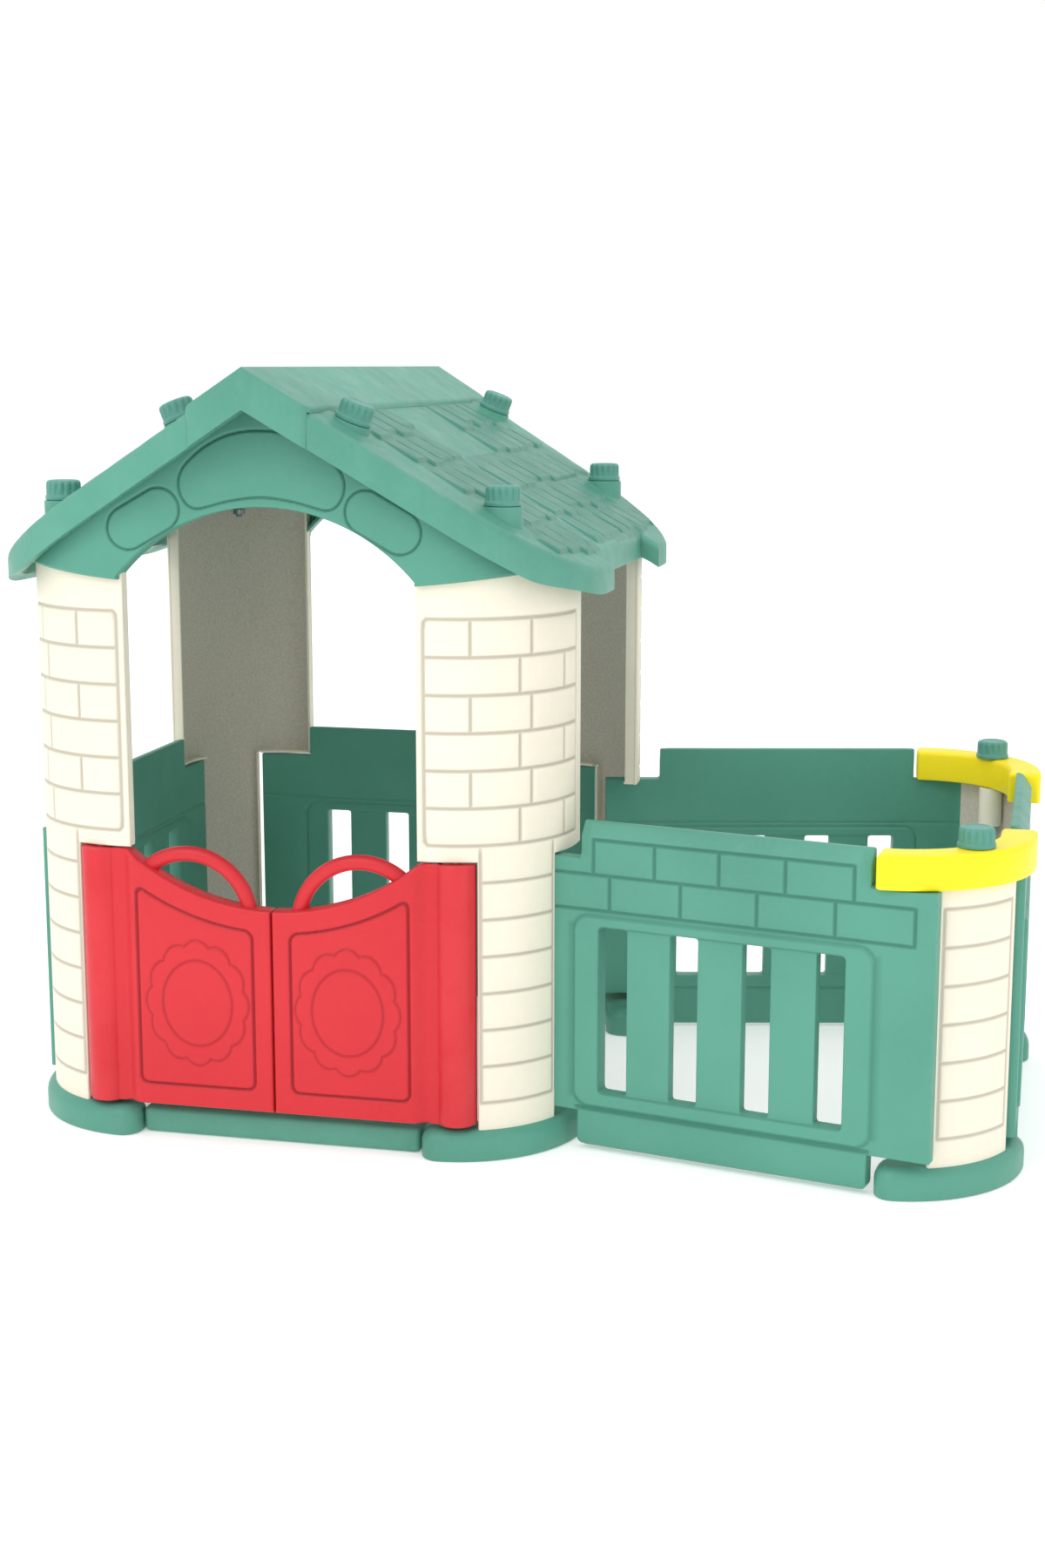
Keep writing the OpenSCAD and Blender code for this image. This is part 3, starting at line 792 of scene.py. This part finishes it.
def panel(node, base, dirv, nrm):
    base, dirv, nrm = np.array(base), np.array(dirv), np.array(nrm)

    def place(u, v, w):
        p = base[None, :] + u[:, None] * dirv[None, :] + w[:, None] * nrm[None, :]
        return np.stack([p[:, 0], p[:, 1], v], -1)

    segs = [(-208, 494, 205, 494), (-298, 439.5, 297, 439.5), (-298, 384, 297, 384)]
    segs += [(u, 440, u, 494) for u in (-208, -107.5, -4, 100, 205)]
    segs += [(u, 384, u, 439) for u in (-298, -181, -65, 56.5, 177.5, 297)]

    def sdf(u, v):
        s = np.minimum(box_sdf(u, v, -328, 328, 62, 464), rbox_sdf(u, v, -230, 230, 61, 520, 3))
        s = np.minimum(s, rbox_sdf(u, v, -233, 235, 5, 120, 14))
        for c in SLOTS:
            s = np.maximum(s, -rbox_sdf(u, v, c - SW, c + SW, 96, 359, 5))
        return s

    def outer(u, v, s):
        w = np.zeros_like(u)
        w = w - 0.62 * np.maximum(v - 498, 0)
        w = w - 0.30 * np.maximum(np.abs(u) - 214, 0) * sstep(v, 466, 474)
        fr = rbox_sdf(u, v, -239, 239, 72.5, 376, 25)
        rec = rbox_sdf(u, v, -196, 196, 95, 360, 8)
        w = w + 5.0 * (1 - sstep(fr, -4.5, 0.5)) - 5.5 * (1 - sstep(rec, -3.0, 2.0))
        w = w - 2.7 * cut(u, v, segs, 4.6)
        w = w - 4.0 * bell(seg_d(u, v, (-235, 67, 235, 67)), 6.0)
        w = w + 2.6 * bell(v - 36, 30) - fillet(np.minimum(5 - v, 0), 16.0) * (v < 40)
        return w - fillet(s, 2.6) * np.where((np.abs(u) < 200) & (v > 92) & (v < 362), 0.6, 1.0)

    def inner(u, v, s):
        fr = rbox_sdf(u, v, -239, 239, 72.5, 376, 25)
        rec = rbox_sdf(u, v, -196, 196, 95, 360, 8)
        w = np.full_like(u, -26.0)
        w = w + 3.0 * bell(np.abs(fr), 4.5) + 3.5 * (1 - sstep(rec, -3.0, 2.0))
        w = w + 2.2 * bell(np.abs(v - 384), 3.5) * (np.abs(u) < 328)
        return w + fillet(s, 2.2)

    # painted shade in the brick grooves, along the raised frame's edge, round the bar recess and in the groove under
    # the frame
    def painted_shade(u, v, s):
        fr = rbox_sdf(u, v, -239, 239, 72.5, 376, 25)
        rec = rbox_sdf(u, v, -196, 196, 95, 360, 8)
        c = np.maximum(cut(u, v, segs, 4.6) * 0.75, bell(np.abs(fr - 1.5), 4.0) * 0.5)
        c = np.maximum(c, bell(np.abs(rec), 3.0) * 0.3)
        return np.maximum(c, 0.6 * bell(seg_d(u, v, (-235, 67, 235, 67)), 5.0))

    um = em(-328, 2.6, 1) + em(328, 2.6, -1) + em(-230, 2.6, 1) + em(230, 2.6, -1) + [-233, 235, -214, 214]
    for c in (-208, -107.5, -4, 100, 205, -298, -181, -65, 56.5, 177.5, 297):
        um += gm(c, 4.6)
    for c in SLOTS:
        um += em(c - SW, 2.6, -1) + em(c + SW, 2.6, 1) + [c - SW + 2, c - SW + 5, c + SW - 5, c + SW - 2]
    um += [-239.5, -236.5, -234.5, 234.5, 236.5, 239.5, -198, -196, -194.5, -193, 193, 194.5, 196, 198]
    vm = em(5, 2.6, 1) + em(62, 2.6, 1) + em(464, 2.6, -1) + em(520, 2.6, -1) + [498, 61, 466, 470, 474] + gm(67, 5)
    vm += gm(494, 4.6) + gm(439.5, 4.6) + gm(384, 4.6) + em(96, 2.6, -1) + em(359, 2.6, 1) + [98, 101, 354, 357]
    vm += [72, 73.5, 75.5, 77, 372, 373.5, 375.5, 376.5] + list(np.arange(73, 98, 3.0)) + list(np.arange(352, 377, 3.0)) + list(np.arange(6, 20, 2.5))
    us = lines(-328, 328, um + list(np.arange(-239, -214, 3.0)) + list(np.arange(215, 239, 3.0)), 14.0, tol=0.35)
    vs = lines(5, 520, vm, 16.0, tol=0.35)
    ob = relief(node + "_moulding", us, vs, sdf, outer, inner, place, "house", painted_shade=painted_shade, sharp=40)
    done(ob, GREEN, "house", "green_plastic", node)


sp = math.radians(13)
FX = 686.0
FY = -(270 + 188 / math.cos(sp) + (FX - 938) * math.tan(sp))
panel("fence_front", (FX, FY), (math.cos(sp), -math.sin(sp)), (-math.sin(sp), -math.cos(sp)))
panel("fence_rear", (FX, -FY), (-math.cos(sp), -math.sin(sp)), (-math.sin(sp), math.cos(sp)))
panel("fence_side", (938 + 188, 0), (0, 1), (1, 0))
panel("wall_panel_left", (-XE + 4, 0), (0, -1), (-1, 0))
panel("wall_panel_rear", (0, YE - 4), (-1, 0), (0, 1))

# ------------------------------------------------------------------ feet, caps, posts
def pad(name, place, u0, u1, w0, w1, z0, z1, r_plan, r_top, body="house"):
    """rounded bar over a path: u along it, radial offset w0..w1, z0..z1"""
    rc = min(r_plan, (w1 - w0) / 2 - 0.5)
    us = lines(u0, u1, [u0 + rc * k for k in (0.02, .08, .18, .3, .45, .62, .8, 1)] + [u1 - rc * k for k in (0.02, .08, .18, .3, .45, .62, .8, 1)]
               + [u0 + r_top * k for k in (.05, .15, .3, .5, .75, 1)] + [u1 - r_top * k for k in (.05, .15, .3, .5, .75, 1)], 7.0, tol=0.4)
    ws = lines(w0, w1, [w0 + r_top * k for k in (.05, .15, .3, .5, .75, 1)] + [w1 - r_top * k for k in (.05, .15, .3, .5, .75, 1)]
               + [w0 + rc * k for k in (.08, .18, .3, .45, .62, .8)] + [w1 - rc * k for k in (.08, .18, .3, .45, .62, .8)], 7.0, tol=0.4)
    sdf = lambda u, w: rbox_sdf(u, w, u0, u1, w0, w1, rc)

    def pl(u, w, h):
        p = place(u, h, w)
        return p
    return relief(name, us, ws, sdf, lambda u, w, s: z1 - fillet(s, r_top),
                  lambda u, w, s: z0 + fillet(s, min(3.0, r_top)), pl, body, sharp=50)


def foot(node, sx, sy):
    ob = pad(node + "_moulding", corner(sx, sy), 1.0 if sy > 0 else 9.5, L1 + L2 + 16.0, -58.0, 14.0, 0.0, 47.0, 30.0, 20.0)
    done(ob, GREEN, "house", "green_plastic", node)


foot("foot_front_right", 1, 1)
foot("foot_front_left", -1, 1)
foot("foot_rear_right", 1, -1)
foot("foot_rear_left", -1, -1)

YC, YY = 938.0, 270.0


def ycorner(sy, a0):
    """path round a yard corner from angle a0 (degrees), then along the side"""
    def f(u, v, w):
        a = np.clip(u / R, 0, PI / 2 - math.radians(a0)) + math.radians(a0)
        e = np.maximum(u - R * (PI / 2 - math.radians(a0)), 0)
        x = YC + (R + w) * np.sin(a)
        y = -YY - (R + w) * np.cos(a) + e
        return np.stack([x, sy * y, v], -1)
    return f


for nm, sy in (("front", 1), ("rear", -1)):
    ob = pad("yard_foot_" + nm + "_moulding", ycorner(sy, -4), 0.0, R * math.radians(94) + 24, -58.0, 14.0, 0.0, 47.0, 30.0, 20.0)
    done(ob, GREEN, "house", "green_plastic", "yard_foot_" + nm)
    cap = pad("c", ycorner(sy, -6), 0.0, R * math.radians(96) + 33, -40.0, 15.0, 465.5, 517.5, 8.0, 8.0)
    done(join("yard_cap_" + nm + "_moulding", [cap], "house"), YELLOW, "house", "yellow_plastic", "yard_cap_" + nm)
    # brick patterned corner post
    low = [435.2 - 57.69 * k for k in range(7)]
    ul = R * math.radians(49)
    segs = [(14, low[6], 14, low[0], 4.6), (ul - 12, low[6], ul - 12, low[0], 4.6)] + [(14, z, ul - 12, z, 4.5) for z in low]
    us = lines(0, ul, em(0, 3, 1) + em(ul, 3, -1) + gm(14, 4.6) + gm(ul - 12, 4.6), 6.0)
    vs = lines(27.5, 465, em(27.5, 3, 1) + em(465, 3, -1) + sum((gm(z, 4.6) for z in low), []), 14.0)
    sdf = lambda u, v, ul=ul: box_sdf(u, v, 0, ul, 27.5, 465)
    # painted shade in the brick grooves
    ob = relief("p", us, vs, sdf, lambda u, v, s, segs=segs: -2.4 * cut(u, v, segs, 4.5) - fillet(s, 3.0), -5.0,
                ycorner(sy, 20), "house", painted_shade=lambda u, v, s, segs=segs: cut(u, v, segs, 4.5))
    k = 165 / math.sqrt(2)
    bs = lathe("b", [(18, 395), (20, 397), (20, 464)], "house", at=(YC + k, -sy * (YY + k), 0), seg=32)
    done(join("yard_post_" + nm + "_moulding", [ob, bs], "house"), CREAM, "house", "cream_plastic", "yard_post_" + nm)

# ------------------------------------------------------------------ threshold
pl3 = lambda x, y, z: np.stack([x, y, z], -1)
ob = prism("threshold_moulding", [(-DOOR + 2, -436), (DOOR - 2, -436), (DOOR - 2, -354), (-DOOR + 2, -354)], 0, 42, pl3, "house", 9.0)
done(ob, GREEN, "house", "green_plastic", "threshold")

# ------------------------------------------------------------------ knobs
def knob(node, at, tilt, sgn, stem):
    ribs = 14
    prof = [(6.0, -stem), (6.0, 0.0), (24.5, 0.0), (27.6, 0.6), (28.0, 2.2), (28.0, 5.0), (27.4, 6.6), (26.4, 7.4), (26.3, 9.0),
            (26.3, 18.0), (26.2, 24.0), (25.6, 27.0), (23.6, 29.2), (21.5, 30.0), (19.0, 29.9), (17.6, 29.0), (16.0, 28.9), (2.0, 28.9)]

    def mod(t, k):
        if 8 <= k <= 12:
            m = 1.0 if k in (9, 10) else (0.7 if k in (8, 11) else 0.35)
            return -2.6 * m * (0.5 - 0.5 * math.cos(t * ribs)) ** 2.2
        return 0.0
    ob = lathe(node + "_grip", prof, node, at=at, tilt=tilt, tilt_sign=sgn, seg=112, mod=mod, sharp=48)
    done(ob, KNOB, node, "knob_plastic", node)


lo_top = SK - (KL[0] - 28) * SL + 2
for a, sy in (("f", -1), ("r", 1)):
    for b, sx in (("l", -1), ("r", 1)):
        knob(f"roof_knob_{a}{b}_low", (sx * KL[0], sy * KL[1], lo_top + 0.3), 0.0, 1, lo_top + 0.3 - 922)
        t = math.radians(22)
        n = np.array([sx * math.sin(t), 0, math.cos(t)])
        c0 = np.array([sx * KU[0], sy * KU[1], SK - KU[0] * SL]) + 9.3 * n
        knob(f"roof_knob_{a}{b}_high", c0, t, sx, 100)
k = 165 / math.sqrt(2)
knob("cap_knob_front", (YC + k, -(YY + k), 517.8), 0.0, 1, 145)
knob("cap_knob_rear", (YC + k, YY + k, 517.8), 0.0, 1, 145)

# ------------------------------------------------------------------ carried-over CAD nodes
for nname in ("door_hinge_pins", "roof_knob_nuts", "cap_knob_nuts"):
    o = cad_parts[nname]
    o.data.materials.clear()
    o.data.materials.append(STEEL)

# ------------------------------------------------------------------ stage
fl = bpy.data.materials.new("floor_white")
fl.use_nodes = True
fb = fl.node_tree.nodes["Principled BSDF"]
fb.inputs["Base Color"].default_value = (0.92, 0.92, 0.915, 1)
fb.inputs["Roughness"].default_value = 0.85
fb.inputs["Specular IOR Level"].default_value = 0.1
fb.inputs["Emission Color"].default_value = (1.0, 1.0, 1.0, 1)
fb.inputs["Emission Strength"].default_value = 0.3
me = bpy.data.meshes.new("floor")
S_ = 14.0
me.from_pydata([(-S_, -S_, 0), (S_, -S_, 0), (S_, S_, 0), (-S_, S_, 0)], [], [(0, 1, 2, 3)])
flo = bpy.data.objects.new("floor", me)
me.materials.append(fl)
bpy.context.scene.collection.objects.link(flo)
flo.location = (0, 0, -0.0006)

w = bpy.data.worlds.new("studio") if not bpy.context.scene.world else bpy.context.scene.world
bpy.context.scene.world = w
w.use_nodes = True
bg = w.node_tree.nodes.get("Background") or w.node_tree.nodes.new("ShaderNodeBackground")
bg.inputs[0].default_value = (1.0, 1.0, 1.0, 1)
bg.inputs[1].default_value = 1.02


def area(name, loc, target, size, power):
    ld = bpy.data.lights.new(name, "AREA")
    ld.shape = "RECTANGLE"
    ld.size = size[0]
    ld.size_y = size[1]
    ld.energy = power
    o = bpy.data.objects.new(name, ld)
    o.location = loc
    o.rotation_euler = (Vector(target) - Vector(loc)).to_track_quat("-Z", "Y").to_euler()
    bpy.context.scene.collection.objects.link(o)


area("key", (-1.6, -3.6, 3.6), (0.0, 0.0, 0.5), (2.4, 2.4), 48)
area("fill", (3.4, -2.6, 1.8), (0.2, 0.0, 0.5), (2.2, 2.2), 12)
area("top", (0.2, 0.4, 4.2), (0.0, 0.0, 0.4), (3.0, 3.0), 20)

# ------------------------------------------------------------------ camera
yaw, pit, rol = math.radians(13.26), math.radians(10.58), math.radians(0.05)
fw = Vector((-math.sin(yaw) * math.cos(pit), math.cos(yaw) * math.cos(pit), -math.sin(pit)))
rt = fw.cross(Vector((0, 0, 1))).normalized()
up = rt.cross(fw)
M = Matrix((rt, up, -fw)).transposed()
cd = bpy.data.cameras.new("camera")
cd.sensor_width = 36.0
cd.sensor_fit = "AUTO"
cd.lens = 2577.66 / 1800 * 36
cam = bpy.data.objects.new("camera", cd)
cam.matrix_world = M.to_4x4()
cam.location = (1.1437 - OX / 1000, -3.6275, 1.2031)
bpy.context.scene.collection.objects.link(cam)
bpy.context.scene.camera = cam
bpy.context.scene.view_settings.view_transform = "Standard"

bpy.context.view_layer.update()
